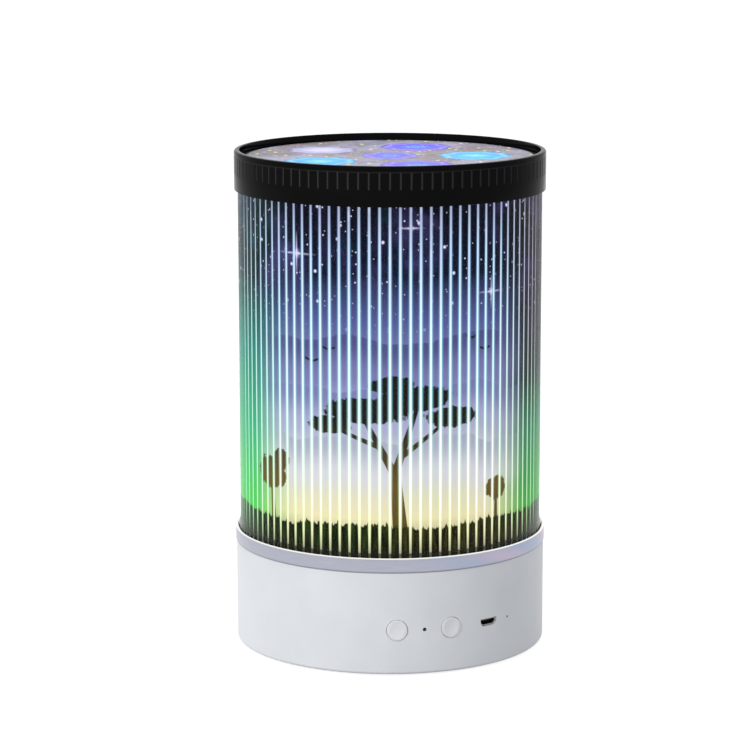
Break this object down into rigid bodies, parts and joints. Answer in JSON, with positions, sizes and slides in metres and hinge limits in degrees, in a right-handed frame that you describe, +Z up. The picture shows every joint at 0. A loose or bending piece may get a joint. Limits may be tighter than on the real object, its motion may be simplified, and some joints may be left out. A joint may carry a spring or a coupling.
{
  "type": "rotating motion lamp",
  "caption": "Cylindrical table lamp with a slitted picture sleeve round a motor-driven glowing drum, on a low base with push buttons and a charging socket.",
  "frame": {"origin": "on the table, below the lamp's axis, in the plane of the feet's lower faces", "axes": "+Z up along the drum's axis; -Y is the front, through the motion button; +X is to the right seen from the front"},
  "size_m": [0.124, 0.124, 0.1975],
  "materials": {
    "white_plastic": "fine satin moulded",
    "button_plastic": "satin moulded",
    "silver_plastic": "silver satin paint",
    "clear_plastic": "clear glossy",
    "printed_film": "printed picture, lit from behind",
    "black_gloss": "high gloss",
    "rubber": "matte",
    "screw_steel": "zinc plated",
    "bright_steel": "nickel plated",
    "black_plastic": "fine matte moulded",
    "cream_plastic": "natural nylon",
    "circuit_board": "green solder mask",
    "light_board": "white solder mask",
    "led_lens": "milky clear",
    "emitter": "phosphor yellow",
    "frosted_lens": "frosted",
    "diffuser": "opal, lit from inside",
    "motion_film": "printed stripes, lit from inside",
    "star_disc": "printed translucent sheet, lit from below",
    "cell_can": "blue shrink wrap over a metal can",
    "brass_gearbox": "plain",
    "red_lead": "soft sheath",
    "black_lead": "soft sheath",
    "white_lead": "soft sheath"
  },
  "bodies": {
    "base": {"base_shell": "white_plastic", "bottom_cover": "white_plastic", "rubber_feet": "rubber", "cover_screws": "screw_steel", "trim_ring": "silver_plastic", "clear_sleeve": "clear_plastic", "picture_film": "printed_film", "top_ring": "black_gloss", "main_board": "circuit_board", "board_screws": "screw_steel", "usb_socket": "bright_steel", "usb_tongue": "black_plastic", "light_switch": "black_plastic", "motion_switch": "black_plastic", "status_led": "led_lens", "charge_led": "led_lens", "control_chips": "black_plastic", "lead_sockets": "cream_plastic", "battery_tray": "black_plastic", "tray_screws": "screw_steel", "battery_contacts": "bright_steel", "battery_cell": "cell_can", "battery_leads": "red_lead", "gearbox": "brass_gearbox", "motor_can": "bright_steel", "motor_end_cap": "cream_plastic", "motor_screws": "screw_steel", "motor_leads": "black_lead", "roller_pins": "bright_steel", "lamp_post": "white_plastic", "post_screws": "screw_steel", "light_board": "light_board", "light_board_screws": "screw_steel", "light_emitters": "emitter", "lens_dome": "frosted_lens", "light_leads": "white_lead"},
    "drum": {"gear_ring": "cream_plastic", "diffuser_tube": "diffuser", "motion_film": "motion_film", "drum_cap": "black_gloss", "star_disc": "star_disc"},
    "drive_pinion": {"pinion": "cream_plastic", "motor_shaft": "bright_steel"},
    "track_roller_1": {"roller_1": "cream_plastic"},
    "track_roller_2": {"roller_2": "cream_plastic"},
    "track_roller_3": {"roller_3": "cream_plastic"},
    "light_key": {"light_button": "button_plastic", "light_plunger": "black_plastic"},
    "motion_key": {"motion_button": "button_plastic", "motion_plunger": "black_plastic"}
  },
  "joints": [
    {"name": "drum_spin", "type": "hinge", "parent": "base", "child": "drum", "pos_m": [0, 0, 0.1], "axis": [0, 0, 1], "continuous": true},
    {"name": "pinion_spin", "type": "hinge", "parent": "base", "child": "drive_pinion", "pos_m": [0, 0.04, 0.05], "axis": [0, 0, 1], "continuous": true},
    {"name": "roller_1_spin", "type": "hinge", "parent": "base", "child": "track_roller_1", "pos_m": [0, -0.054, 0.0422], "axis": [0, -1, 0], "continuous": true},
    {"name": "roller_2_spin", "type": "hinge", "parent": "base", "child": "track_roller_2", "pos_m": [0.04677, 0.027, 0.0422], "axis": [0.866, 0.5, 0], "continuous": true},
    {"name": "roller_3_spin", "type": "hinge", "parent": "base", "child": "track_roller_3", "pos_m": [-0.04677, 0.027, 0.0422], "axis": [-0.866, 0.5, 0], "continuous": true},
    {"name": "light_press", "type": "slide", "parent": "base", "child": "light_key", "axis": [0.342, 0.9397, 0], "range_m": [0, 0.0004], "stiffness_N_per_m": 2000},
    {"name": "motion_press", "type": "slide", "parent": "base", "child": "motion_key", "axis": [0, 1, 0], "range_m": [0, 0.0004], "stiffness_N_per_m": 2000}
  ],
  "couplings": [
    {"joint": "pinion_spin", "follows": "drum_spin", "ratio": 5},
    {"joint": "roller_1_spin", "follows": "drum_spin", "ratio": -18.183},
    {"joint": "roller_2_spin", "follows": "drum_spin", "ratio": -18.183},
    {"joint": "roller_3_spin", "follows": "drum_spin", "ratio": -18.183}
  ]
}
